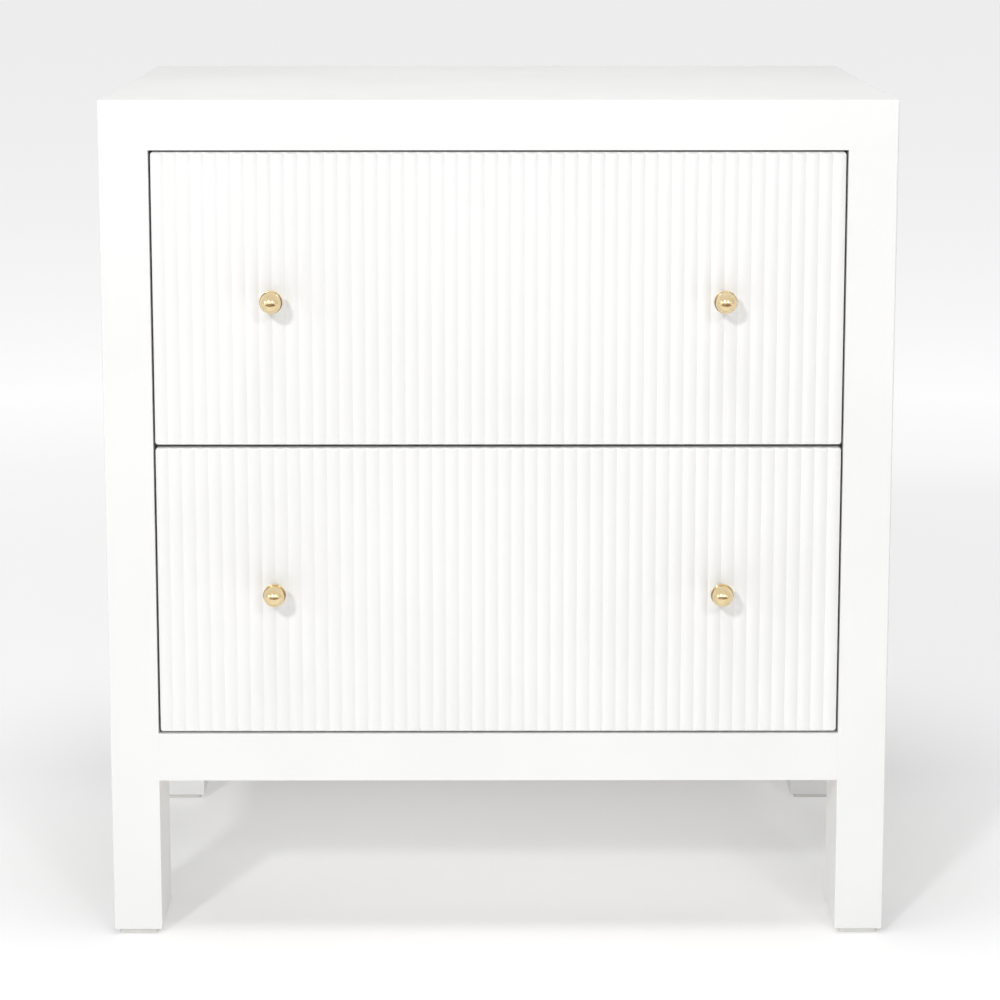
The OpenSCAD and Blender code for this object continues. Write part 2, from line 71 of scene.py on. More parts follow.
SIDES = ("-x", "+x", "-y", "+y")
CORNERS = [(a, b) for a in ("-x", "+x") for b in ("-y", "+y")]
POSTS = ("front_left_post", "front_right_post", "rear_left_post", "rear_right_post")


# ---- camera ----

def place_camera(x, distance, height, pitch, yaw, lens, shift):
    """A long lens in front of the cabinet, a little above its top."""
    data = bpy.data.cameras.new("camera")
    data.sensor_width = 36
    data.lens = lens
    data.shift_y = shift
    camera = bpy.data.objects.new("camera", data)
    bpy.context.scene.collection.objects.link(camera)
    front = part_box("top_panel")[0].y
    camera.location = (x * MM, front - distance * MM, height * MM)
    camera.rotation_euler = (math.radians(90 - pitch), 0, math.radians(-yaw))
    bpy.context.scene.camera = camera


place_camera(x=-6, distance=2450, height=825, pitch=10.06, yaw=0.17, lens=115.8, shift=-0.05)


# ---- node helpers ----

def colour(code):
    """The linear colour of an sRGB hex value."""
    parts = [int(code[i:i + 2], 16) / 255 for i in (1, 3, 5)]
    return [c / 12.92 if c <= 0.04045 else ((c + 0.055) / 1.055) ** 2.4 for c in parts] + [1.0]


def add(tree, kind, inputs=None, stops=(), **settings):
    """Adds a node with its settings, inputs, links and colour stops, and returns its outputs."""
    node = tree.nodes.new(kind)
    for key, value in settings.items():
        setattr(node, key, value)
    for socket, value in (inputs or {}).items():
        several = isinstance(value, tuple) and isinstance(value[0], bpy.types.NodeSocket)
        for one in value if several else [value]:
            if isinstance(one, bpy.types.NodeSocket):
                tree.links.new(one, node.inputs[socket])
            else:
                node.inputs[socket].default_value = one
    for i, (place, code) in enumerate(stops):
        element = node.color_ramp.elements[i] if i < 2 else node.color_ramp.elements.new(place)
        element.position, element.color = place, colour(code)
    return node.outputs


def new_finish(name, **constants):
    """A material, its tree and its shader, with the constants set on the shader itself."""
    material = bpy.data.materials.new(name)
    material.use_nodes = True
    shader = material.node_tree.nodes["Principled BSDF"]
    for socket, value in constants.items():
        shader.inputs[socket.replace("_", " ")].default_value = value
    return material, material.node_tree, shader


def surface(tree, shader, tone, rough, height, depth):
    """Links a colour, a roughness and a relief of a depth in millimetres to the shader."""
    tree.links.new(tone, shader.inputs["Base Color"])
    tree.links.new(rough, shader.inputs["Roughness"])
    bump = add(tree, "ShaderNodeBump", {"Height": height, "Distance": depth * MM, "Strength": 1.0})
    tree.links.new(bump["Normal"], shader.inputs["Normal"])


# ---- finishes: noise scales are one over the feature size in millimetres ----

def white_lacquer():
    """Satin white catalysed lacquer sprayed on MDF. Soft, broad highlights with a faint orange peel.
    The peel is 1 to 2 mm across on the real one and is drawn at 5 mm so that it shows."""
    material, tree, shader = new_finish("satin_white_lacquer", IOR=1.5)
    place = add(tree, "ShaderNodeTexCoord")["Object"]
    mm = add(tree, "ShaderNodeMapping", {"Vector": place, "Scale": (1000, 1000, 1000)})[0]
    cloud = add(tree, "ShaderNodeTexNoise", {"Vector": mm, "Scale": 1 / 160, "Detail": 2.0})["Fac"]
    tone = add(tree, "ShaderNodeValToRGB", {"Fac": cloud}, [(0.35, "#F1F1F0"), (0.65, "#F4F4F3")])["Color"]
    film = add(tree, "ShaderNodeTexNoise", {"Vector": mm, "Scale": 1 / 30, "Detail": 4.0})["Fac"]
    rough = add(tree, "ShaderNodeMapRange", {"Value": film, "To Min": 0.30, "To Max": 0.38})["Result"]
    peel = add(tree, "ShaderNodeTexNoise", {"Vector": mm, "Scale": 1 / 5, "Detail": 2.0})["Fac"]
    surface(tree, shader, tone, rough, peel, 0.008)
    return material


def birch_ply():
    """Birch plywood under clear lacquer. Pale straight grain with fine pores on the faces, and plies
    that alternate light and dark along the edges."""
    ply_thickness = 1.46
    material, tree, shader = new_finish("clear_lacquered_birch_ply", IOR=1.5)
    board = add(tree, "ShaderNodeAttribute", attribute_name="board")["Vector"]
    flow = add(tree, "ShaderNodeMapping", {"Vector": board, "Scale": (12, 250, 250)})[0]
    figure = add(tree, "ShaderNodeTexNoise", {
        "Vector": flow, "Scale": 1 / 6, "Detail": 3.0, "Roughness": 0.55, "Distortion": 0.6,
    })["Fac"]
    face = add(tree, "ShaderNodeValToRGB", {"Fac": figure}, [
        (0.3, "#DCC193"), (0.7, "#EDDAB8"), (0.5, "#E6CEA5"),
    ])["Color"]
    fine = add(tree, "ShaderNodeMapping", {"Vector": board, "Scale": (50, 1000, 1000)})[0]
    pores = add(tree, "ShaderNodeTexNoise", {"Vector": fine, "Scale": 1 / 0.9, "Detail": 2.0})["Fac"]
    fleck = add(tree, "ShaderNodeValToRGB", {"Fac": pores}, [(0.42, "#C9A774"), (0.55, "#FFFFFF")])["Color"]
    veneer = add(tree, "ShaderNodeMix", {
        0: 0.35, 6: face, 7: fleck,
    }, data_type="RGBA", blend_type="MULTIPLY")[2]
    mm = add(tree, "ShaderNodeMapping", {"Vector": board, "Scale": (1000, 1000, 1000)})[0]
    through = add(tree, "ShaderNodeSeparateXYZ", {0: mm})["Z"]
    out = add(tree, "ShaderNodeMath", {0: through}, operation="ABSOLUTE")[0]
    ply = add(tree, "ShaderNodeMath", {0: out, 1: 1 / ply_thickness, 2: 0.5}, operation="MULTIPLY_ADD")[0]
    number = add(tree, "ShaderNodeMath", {0: ply}, operation="FLOOR")[0]
    cross = add(tree, "ShaderNodeMath", {0: number, 1: 2.0}, operation="MODULO")[0]
    fibre = add(tree, "ShaderNodeTexNoise", {"Vector": mm, "Scale": 1 / 0.7, "Detail": 2.0})["Fac"]
    end_grain = add(tree, "ShaderNodeValToRGB", {"Fac": fibre}, [(0.3, "#9C7446"), (0.7, "#B98F5C")])["Color"]
    tone = add(tree, "ShaderNodeMix", {0: cross, 6: veneer, 7: end_grain}, data_type="RGBA")[2]
    rough = add(tree, "ShaderNodeMapRange", {"Value": pores, "To Min": 0.34, "To Max": 0.46})["Result"]
    surface(tree, shader, tone, rough, pores, 0.015)
    return material


def raw_pine():
    """Planed pine, unfinished. Growth rings about 4 mm apart in warm yellow, matt."""
    material, tree, shader = new_finish("planed_pine", IOR=1.45)
    board = add(tree, "ShaderNodeAttribute", attribute_name="board")["Vector"]
    flow = add(tree, "ShaderNodeMapping", {"Vector": board, "Scale": (20, 1000, 600)})[0]
    rings = add(tree, "ShaderNodeTexWave", {
        "Vector": flow, "Scale": 0.08, "Distortion": 3.0, "Detail": 2.0, "Detail Scale": 0.4,
    }, wave_type="BANDS", bands_direction="Y")["Fac"]
    tone = add(tree, "ShaderNodeValToRGB", {"Fac": rings}, [
        (0.15, "#E8CB98"), (0.95, "#C4955A"), (0.7, "#DDB87E"),
    ])["Color"]
    fine = add(tree, "ShaderNodeMapping", {"Vector": board, "Scale": (30, 1000, 1000)})[0]
    fibre = add(tree, "ShaderNodeTexNoise", {"Vector": fine, "Scale": 1 / 0.8, "Detail": 2.0})["Fac"]
    rough = add(tree, "ShaderNodeMapRange", {"Value": fibre, "To Min": 0.62, "To Max": 0.78})["Result"]
    surface(tree, shader, tone, rough, fibre, 0.03)
    return material


def beech():
    """Beech dowel rod, unfinished. Pinkish tan with short dark flecks about 2 mm long."""
    material, tree, shader = new_finish("beech_dowel_rod", IOR=1.45)
    place = add(tree, "ShaderNodeTexCoord")["Object"]
    mm = add(tree, "ShaderNodeMapping", {"Vector": place, "Scale": (1000, 1000, 1000)})[0]
    fleck = add(tree, "ShaderNodeTexNoise", {
        "Vector": mm, "Scale": 1 / 1.6, "Detail": 4.0, "Roughness": 0.7,
    })["Fac"]
    tone = add(tree, "ShaderNodeValToRGB", {"Fac": fleck}, [
        (0.35, "#A87847"), (0.7, "#D8B382"), (0.5, "#CB9F6B"),
    ])["Color"]
    rough = add(tree, "ShaderNodeMapRange", {"Value": fleck, "To Min": 0.6, "To Max": 0.75})["Result"]
    surface(tree, shader, tone, rough, fleck, 0.02)
    return material


def polished_brass():
    """Turned brass, polished and clear coated. A pale yellow mirror with a slight haze and faint turning
    lines. The lines are 0.1 mm apart on the real one and are drawn at 0.5 mm."""
    material, tree, shader = new_finish(
        "polished_turned_brass", Metallic=1.0, Coat_Weight=0.3, Coat_Roughness=0.05
    )
    place = add(tree, "ShaderNodeTexCoord")["Object"]
    mm = add(tree, "ShaderNodeMapping", {"Vector": place, "Scale": (1000, 1000, 1000)})[0]
    stain = add(tree, "ShaderNodeTexNoise", {"Vector": mm, "Scale": 1 / 4, "Detail": 3.0})["Fac"]
    tone = add(tree, "ShaderNodeValToRGB", {"Fac": stain}, [(0.3, "#DCC595"), (0.7, "#E8D4AA")])["Color"]
    haze = add(tree, "ShaderNodeTexNoise", {"Vector": mm, "Scale": 1 / 2.5, "Detail": 4.0})["Fac"]
    rough = add(tree, "ShaderNodeMapRange", {"Value": haze, "To Min": 0.10, "To Max": 0.20})["Result"]
    turned = add(tree, "ShaderNodeAttribute", attribute_name="turned")["Vector"]
    lathe_mm = add(tree, "ShaderNodeMapping", {"Vector": turned, "Scale": (1000, 20, 0)})[0]
    lines = add(tree, "ShaderNodeTexNoise", {"Vector": lathe_mm, "Scale": 1 / 0.5, "Detail": 2.0})["Fac"]
    surface(tree, shader, tone, rough, lines, 0.0012)
    return material


def zinc_plate():
    """Cold-rolled strip with bright zinc plating. Cool grey, with fine rolling lines along its length."""
    material, tree, shader = new_finish("zinc_plated_strip", Metallic=1.0)
    place = add(tree, "ShaderNodeTexCoord")["Object"]
    along = add(tree, "ShaderNodeMapping", {"Vector": place, "Scale": (1000, 20, 1000)})[0]
    rolled = add(tree, "ShaderNodeTexNoise", {"Vector": along, "Scale": 1 / 0.6, "Detail": 3.0})["Fac"]
    mm = add(tree, "ShaderNodeMapping", {"Vector": place, "Scale": (1000, 1000, 1000)})[0]
    patch = add(tree, "ShaderNodeTexNoise", {"Vector": mm, "Scale": 1 / 14, "Detail": 3.0})["Fac"]
    tone = add(tree, "ShaderNodeValToRGB", {"Fac": patch}, [(0.3, "#B9BFC6"), (0.7, "#CBCFD3")])["Color"]
    rough = add(tree, "ShaderNodeMapRange", {"Value": rolled, "To Min": 0.24, "To Max": 0.42})["Result"]
    surface(tree, shader, tone, rough, rolled, 0.004)
    return material


def bearing_steel():
    """Bright bearing steel in a pressed cage. Darker and smoother than the zinc."""
    material, tree, shader = new_finish("bearing_steel", Metallic=1.0)
    place = add(tree, "ShaderNodeTexCoord")["Object"]
    mm = add(tree, "ShaderNodeMapping", {"Vector": place, "Scale": (1000, 1000, 1000)})[0]
    film = add(tree, "ShaderNodeTexNoise", {"Vector": mm, "Scale": 1 / 3, "Detail": 3.0})["Fac"]
    tone = add(tree, "ShaderNodeValToRGB", {"Fac": film}, [(0.3, "#9DA1A5"), (0.7, "#B3B6B8")])["Color"]
    rough = add(tree, "ShaderNodeMapRange", {"Value": film, "To Min": 0.16, "To Max": 0.28})["Result"]
    surface(tree, shader, tone, rough, film, 0.002)
    return material


def screw_steel():
    """Cold-headed steel with a thin yellowed zinc coat. Slightly mottled and scuffed."""
    material, tree, shader = new_finish("zinc_coated_screw", Metallic=1.0)
    place = add(tree, "ShaderNodeTexCoord")["Object"]
    mm = add(tree, "ShaderNodeMapping", {"Vector": place, "Scale": (1000, 1000, 1000)})[0]
    scuff = add(tree, "ShaderNodeTexNoise", {"Vector": mm, "Scale": 1 / 0.8, "Detail": 4.0})["Fac"]
    tone = add(tree, "ShaderNodeValToRGB", {"Fac": scuff}, [(0.3, "#A9A596"), (0.7, "#C6C3B6")])["Color"]
    rough = add(tree, "ShaderNodeMapRange", {"Value": scuff, "To Min": 0.26, "To Max": 0.45})["Result"]
    surface(tree, shader, tone, rough, scuff, 0.01)
    return material


def nylon():
    """Moulded nylon. Off-white with a fine spark-eroded grain, 0.3 mm on the real one and drawn at 0.8 mm."""
    material, tree, shader = new_finish("moulded_nylon", IOR=1.53)
    place = add(tree, "ShaderNodeTexCoord")["Object"]
    mm = add(tree, "ShaderNodeMapping", {"Vector": place, "Scale": (1000, 1000, 1000)})[0]
    cloud = add(tree, "ShaderNodeTexNoise", {"Vector": mm, "Scale": 1 / 12, "Detail": 2.0})["Fac"]
    tone = add(tree, "ShaderNodeValToRGB", {"Fac": cloud}, [(0.3, "#DAD9D3"), (0.7, "#E2E1DC")])["Color"]
    grain = add(tree, "ShaderNodeTexNoise", {"Vector": mm, "Scale": 1 / 0.8, "Detail": 3.0})["Fac"]
    rough = add(tree, "ShaderNodeMapRange", {"Value": grain, "To Min": 0.45, "To Max": 0.58})["Result"]
    surface(tree, shader, tone, rough, grain, 0.02)
    return material


FINISHES = {
    "white_lacquer": white_lacquer(), "birch_ply": birch_ply(),
    "raw_pine": raw_pine(), "beech_dowel": beech(),
    "polished_brass": polished_brass(), "zinc_plated_steel": zinc_plate(), "bearing_steel": bearing_steel(),
    "screw_steel": screw_steel(), "nylon": nylon(),
}


# ---- mesh helpers ----

def plain_mesh(obj):
    """The object's evaluated shape as a mesh of its own. The object is removed."""
    bpy.context.view_layer.update()
    mesh = bpy.data.meshes.new_from_object(obj.evaluated_get(bpy.context.evaluated_depsgraph_get()))
    bpy.data.objects.remove(obj)
    return mesh


def held(mesh):
    """A working object that holds a mesh while modifiers run on it."""
    obj = bpy.data.objects.new("work", mesh)
    bpy.context.scene.collection.objects.link(obj)
    return obj


def joined(meshes):
    """Several meshes as one."""
    if len(meshes) == 1:
        return meshes[0]
    work = [held(m) for m in meshes]
    with bpy.context.temp_override(active_object=work[0], selected_editable_objects=work):
        bpy.ops.object.join()
    mesh = work[0].data
    bpy.data.objects.remove(work[0])
    return mesh


def smooth(mesh, angle):
    """Smooth shading that breaks at edges sharper than an angle."""
    mesh.shade_smooth()
    mesh.set_sharp_from_angle(angle=math.radians(angle))


def finished(name, mesh, body, slot, *nodes):
    """Makes a mesh a piece of the object, in its finish, that stands for CAD nodes and moves with a body."""
    mesh.materials.clear()
    mesh.materials.append(FINISHES[slot])
    obj = bpy.data.objects.new(name, mesh)
    bpy.context.scene.collection.objects.link(obj)
    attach(obj, body)
    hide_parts(*nodes)


def body_of(node):
    """The body that a CAD node moves with."""
    return frame["nodes"][node]["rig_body"]


def note_board(mesh, low, high):
    """Stores each point's place on its board: along the grain, across it, and out from the middle."""
    size = high - low
    order = sorted(range(3), key=lambda i: -size[i])
    points = np.zeros(len(mesh.vertices) * 3)
    mesh.vertices.foreach_get("co", points)
    points = points.reshape(-1, 3) - np.array((low + high) / 2)
    points[:, order[0]] += low.x + 3 * low.z
    layer = mesh.attributes.new("board", "FLOAT_VECTOR", "POINT")
    layer.data.foreach_set("vector", points[:, order].ravel())


def board(low, high, notches=(), arris=0.3, rounds=None):
    """A board between two corners with its notches cut away. Each outer edge is rounded:
    rounds gives the radius in mm where two named faces meet, and arris the rest."""
    marks = []
    for i in range(3):
        cuts = [min(max(corner[i], low[i]), high[i]) for notch in notches for corner in notch]
        marks.append(sorted({low[i], high[i], *cuts}))
    cells = [len(m) - 1 for m in marks]
    solid = np.ones(cells, bool)
    for cell in np.ndindex(*cells):
        middle = [(marks[i][cell[i]] + marks[i][cell[i] + 1]) / 2 for i in range(3)]
        solid[cell] = not any(all(n[0][i] < middle[i] < n[1][i] for i in range(3)) for n in notches)
    bm = bmesh.new()
    found = {}
    for cell in np.argwhere(solid):
        for axis in range(3):
            for way in (0, 1):
                beyond = cell.copy()
                beyond[axis] += 2 * way - 1
                if 0 <= beyond[axis] < cells[axis] and solid[tuple(beyond)]:
                    continue
                a, b = (axis + 1) % 3, (axis + 2) % 3
                corners = [(0, 0), (1, 0), (1, 1), (0, 1)][::1 if way else -1]
                ring = []
                for da, db in corners:
                    step = [0, 0, 0]
                    step[axis], step[a], step[b] = way, da, db
                    key = tuple(int(cell[i]) + step[i] for i in range(3))
                    if key not in found:
                        found[key] = bm.verts.new([marks[i][key[i]] for i in range(3)])
                    ring.append(found[key])
                bm.faces.new(ring)
    bmesh.ops.dissolve_limit(bm, angle_limit=0.01, verts=bm.verts, edges=bm.edges)
    radii = {frozenset(k): r for k, r in (rounds or {}).items()}
    widest = max([arris, *radii.values()])
    weight = bm.edges.layers.float.new("bevel_weight_edge")
    for edge in bm.edges:
        if edge.calc_face_angle_signed(0) > 0.1:
            sides = frozenset(
                name for name, way in FACES.items() if any(f.normal.dot(way) > 0.9 for f in edge.link_faces)
            )
            edge[weight] = radii.get(sides, arris) / widest
    mesh = bpy.data.meshes.new("board")
    bm.to_mesh(mesh)
    bm.free()
    obj = held(mesh)
    bevel = obj.modifiers.new("arris", "BEVEL")
    bevel.width = widest * MM
    bevel.segments = 3
    bevel.limit_method = "WEIGHT"
    bevel.harden_normals = True
    mesh.shade_smooth()
    mesh = plain_mesh(obj)
    note_board(mesh, low, high)
    return mesh


def board_like(node, **shape):
    """A board that fills a CAD node's box."""
    low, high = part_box(node)
    return board(low, high, **shape)


def lathe(profile, centre, segments=72):
    """Turns a profile of (radius, height) in mm about an axis that points out of the front."""
    bm = bmesh.new()
    rings = []
    for radius, height in profile:
        y = centre.y - height * MM
        if radius < 1e-6:
            rings.append([bm.verts.new((centre.x, y, centre.z))])
            continue
        ring = []
        for i in range(segments):
            turn = 2 * math.pi * i / segments
            x, z = radius * MM * math.cos(turn), radius * MM * math.sin(turn)
            ring.append(bm.verts.new((centre.x + x, y, centre.z + z)))
        rings.append(ring)
    for one, two in zip(rings, rings[1:]):
        for i in range(segments):
            j = (i + 1) % segments
            ring = [one[i % len(one)], one[j % len(one)], two[j % len(two)], two[i % len(two)]]
            bm.faces.new(list(dict.fromkeys(ring)))
    bmesh.ops.recalc_face_normals(bm, faces=bm.faces)
    mesh = bpy.data.meshes.new("turning")
    bm.to_mesh(mesh)
    bm.free()
    points = np.zeros(len(mesh.vertices) * 3)
    mesh.vertices.foreach_get("co", points)
    points = points.reshape(-1, 3) - np.array(centre)
    radius = np.hypot(points[:, 0], points[:, 2])
    around = 0.01 * np.arctan2(points[:, 2], points[:, 0])
    places = np.stack([radius - points[:, 1], around, 0 * radius], 1)
    layer = mesh.attributes.new("turned", "FLOAT_VECTOR", "POINT")
    layer.data.foreach_set("vector", places.ravel())
    smooth(mesh, 40)
    return mesh


def arc(centre, radius, start, end, steps):
    """Points (radius, height) along an arc, angles in degrees from the radius direction."""
    turn = [math.radians(start + (end - start) * i / steps) for i in range(steps + 1)]
    return [(centre[0] + radius * math.cos(t), centre[1] + radius * math.sin(t)) for t in turn]


def parts_of(node):
    """The points of each separate solid in a CAD node."""
    bm = bmesh.new()
    bm.from_mesh(frame["nodes"][node].data)
    bmesh.ops.remove_doubles(bm, verts=bm.verts, dist=1e-6)
    left, parts = set(bm.verts), []
    while left:
        stack, group = [left.pop()], []
        while stack:
            vert = stack.pop()
            group.append(vert.co.copy())
            for edge in vert.link_edges:
                other = edge.other_vert(vert)
                if other in left:
                    left.remove(other)
                    stack.append(other)
        parts.append(np.array(group))
    bm.free()
    return parts


def part_boxes(node):
    """The lowest and highest corner of each separate solid in a CAD node."""
    return [(Vector(p.min(0)), Vector(p.max(0))) for p in parts_of(node)]


def boards_like(node, **shape):
    """One board for each solid in a CAD node."""
    return joined([board(low, high, **shape) for low, high in part_boxes(node)])


# ---- node trees that make what repeats ----

def new_tree(name, *inputs):
    """A geometry node tree with a geometry input, named inputs and a geometry output."""
    tree = bpy.data.node_groups.new(name, "GeometryNodeTree")
    tree.interface.new_socket("Geometry", in_out="INPUT", socket_type="NodeSocketGeometry")
    for title in inputs:
        tree.interface.new_socket(title, in_out="INPUT", socket_type="NodeSocketFloat")
    tree.interface.new_socket("Finish", in_out="INPUT", socket_type="NodeSocketMaterial")
    tree.interface.new_socket("Geometry", in_out="OUTPUT", socket_type="NodeSocketGeometry")
    return tree, add(tree, "NodeGroupInput")


def close_tree(tree, given, shape):
    """Ends a tree by making its instances real and giving them their finish."""
    real = add(tree, "GeometryNodeRealizeInstances", {"Geometry": shape})[0]
    done = add(tree, "GeometryNodeSetMaterial", {"Geometry": real, "Material": given["Finish"]})[0]
    add(tree, "NodeGroupOutput", {"Geometry": done})
    return tree


def grown(mesh, tree, slot, **inputs):
    """Runs a tree on a mesh with its named inputs set, and returns a plain mesh."""
    obj = held(mesh)
    modifier = obj.modifiers.new("tree", "NODES")
    modifier.node_group = tree
    inputs["finish"] = FINISHES[slot]
    for item in tree.interface.items_tree:
        key = item.name.replace(" ", "_").lower()
        if item.in_out == "INPUT" and key in inputs:
            modifier[item.identifier] = inputs[key]
    return plain_mesh(obj)


def reed_tree():
    """Cuts upright reeds into the face of a blank, and rounds the face over along its rim.
    Both are arcs: a point falls back by radius - sqrt(radius^2 - distance^2)."""
    tree, given = new_tree("cut reeds", "Left", "Pitch", "Reed radius", "Rim radius")
    x = add(tree, "ShaderNodeSeparateXYZ", {0: add(tree, "GeometryNodeInputPosition")[0]})["X"]
    start = add(tree, "ShaderNodeMath", {0: x, 1: given["Left"]}, operation="SUBTRACT")[0]
    within = add(tree, "ShaderNodeMath", {0: start, 1: given["Pitch"]}, operation="FLOORED_MODULO")[0]
    across = add(tree, "ShaderNodeMath", {0: given["Pitch"], 1: -0.5, 2: within}, operation="MULTIPLY_ADD")[0]
    to_edge = add(tree, "GeometryNodeInputNamedAttribute", {
        "Name": "to_edge",
    }, data_type="FLOAT")["Attribute"]
    short = add(tree, "ShaderNodeMath", {0: given["Rim radius"], 1: to_edge}, operation="SUBTRACT")[0]
    over = add(tree, "ShaderNodeMath", {0: short, 1: 0.0}, operation="MAXIMUM")[0]
    falls = []
    for radius, distance in ((given["Reed radius"], across), (given["Rim radius"], over)):
        square = add(tree, "ShaderNodeMath", {0: distance, 1: distance}, operation="MULTIPLY")[0]
        whole = add(tree, "ShaderNodeMath", {0: radius, 1: radius}, operation="MULTIPLY")[0]
        rest = add(tree, "ShaderNodeMath", {0: whole, 1: square}, operation="SUBTRACT")[0]
        root = add(tree, "ShaderNodeMath", {0: rest}, operation="SQRT")[0]
        falls.append(add(tree, "ShaderNodeMath", {0: radius, 1: root}, operation="SUBTRACT")[0])
    depth = add(tree, "ShaderNodeMath", {0: falls[0], 1: falls[1]}, operation="MAXIMUM")[0]
    offset = add(tree, "ShaderNodeCombineXYZ", {"Y": depth})[0]
    on_face = add(tree, "GeometryNodeInputNamedAttribute", {
        "Name": "on_face",
    }, data_type="BOOLEAN")["Attribute"]
    cut = add(tree, "GeometryNodeSetPosition", {
        "Geometry": given["Geometry"], "Selection": on_face, "Offset": offset,
    })[0]
    return close_tree(tree, given, cut)


def screw_tree():
    """A screw with a cross recess at every point, its head facing the stored way."""
    tree, given = new_tree(
        "cross recess screws", "Top radius", "Under radius", "Head height", "Shank radius", "Length", "Tip",
        "Proud",
    )
    arm_share, width_share, deep_share = 1.05, 0.27, 0.7
    top = given["Proud"]
    under = add(tree, "ShaderNodeMath", {0: top, 1: given["Head height"]}, operation="SUBTRACT")[0]
    tip_end = add(tree, "ShaderNodeMath", {0: top, 1: given["Length"]}, operation="SUBTRACT")[0]
    tip_start = add(tree, "ShaderNodeMath", {0: tip_end, 1: given["Tip"]}, operation="ADD")[0]
    straight = add(tree, "ShaderNodeMath", {0: under, 1: tip_start}, operation="SUBTRACT")[0]
    parts = []
    for count, radius_top, radius_under, height, z in (
        (20, given["Top radius"], given["Under radius"], given["Head height"], under),
        (12, given["Shank radius"], given["Shank radius"], straight, tip_start),
        (12, given["Shank radius"], 0.0, given["Tip"], tip_end),
    ):
        cone = add(tree, "GeometryNodeMeshCone", {
            "Vertices": count, "Radius Top": radius_top, "Radius Bottom": radius_under, "Depth": height,
        })["Mesh"]
        place = add(tree, "ShaderNodeCombineXYZ", {"Z": z})[0]
        parts.append(add(tree, "GeometryNodeTransform", {"Geometry": cone, "Translation": place})[0])
    arm = add(tree, "ShaderNodeMath", {0: given["Top radius"], 1: arm_share}, operation="MULTIPLY")[0]
    width = add(tree, "ShaderNodeMath", {0: given["Top radius"], 1: width_share}, operation="MULTIPLY")[0]
    deep = add(tree, "ShaderNodeMath", {0: given["Top radius"], 1: deep_share}, operation="MULTIPLY")[0]
    middle = add(tree, "ShaderNodeCombineXYZ", {"Z": top})[0]
    arms = []
    for along, across in ((arm, width), (width, arm)):
        size = add(tree, "ShaderNodeCombineXYZ", {"X": along, "Y": across, "Z": deep})[0]
        bar = add(tree, "GeometryNodeMeshCube", {"Size": size})["Mesh"]
        arms.append(add(tree, "GeometryNodeTransform", {"Geometry": bar, "Translation": middle})[0])
    head = add(tree, "GeometryNodeMeshBoolean", {
        "Mesh 1": parts[0], "Mesh 2": tuple(arms),
    }, operation="DIFFERENCE", solver="EXACT")[0]
    whole = add(tree, "GeometryNodeJoinGeometry", {0: (head, parts[1], parts[2])})[0]
    facing = add(tree, "GeometryNodeInputNamedAttribute", {
        "Name": "facing",
    }, data_type="FLOAT_VECTOR")["Attribute"]
    turn = add(tree, "FunctionNodeAlignRotationToVector", {"Vector": facing}, axis="Z")[0]
    driven = add(tree, "GeometryNodeInstanceOnPoints", {
        "Points": given["Geometry"], "Instance": whole, "Rotation": turn,
    })[0]
    return close_tree(tree, given, driven)


def ball_tree():
    """A bearing ball at every point."""
    tree, given = new_tree("bearing balls", "Radius")
    ball = add(tree, "GeometryNodeMeshIcoSphere", {"Radius": given["Radius"], "Subdivisions": 2})["Mesh"]
    round_ball = add(tree, "GeometryNodeSetShadeSmooth", {0: ball})[0]
    loaded = add(tree, "GeometryNodeInstanceOnPoints", {
        "Points": given["Geometry"], "Instance": round_ball,
    })[0]
    return close_tree(tree, given, loaded)


REEDS, SCREWS, BALLS = reed_tree(), screw_tree(), ball_tree()


def points_mesh(points, facing=None):
    """Bare points for a tree to work on."""
    mesh = bpy.data.meshes.new("points")
    mesh.from_pydata([tuple(p) for p in points], [], [])
    if facing is not None:
        layer = mesh.attributes.new("facing", "FLOAT_VECTOR", "POINT")
        layer.data.foreach_set("vector", np.array(facing, float).ravel())
    return mesh


# ---- cabinet boards ----

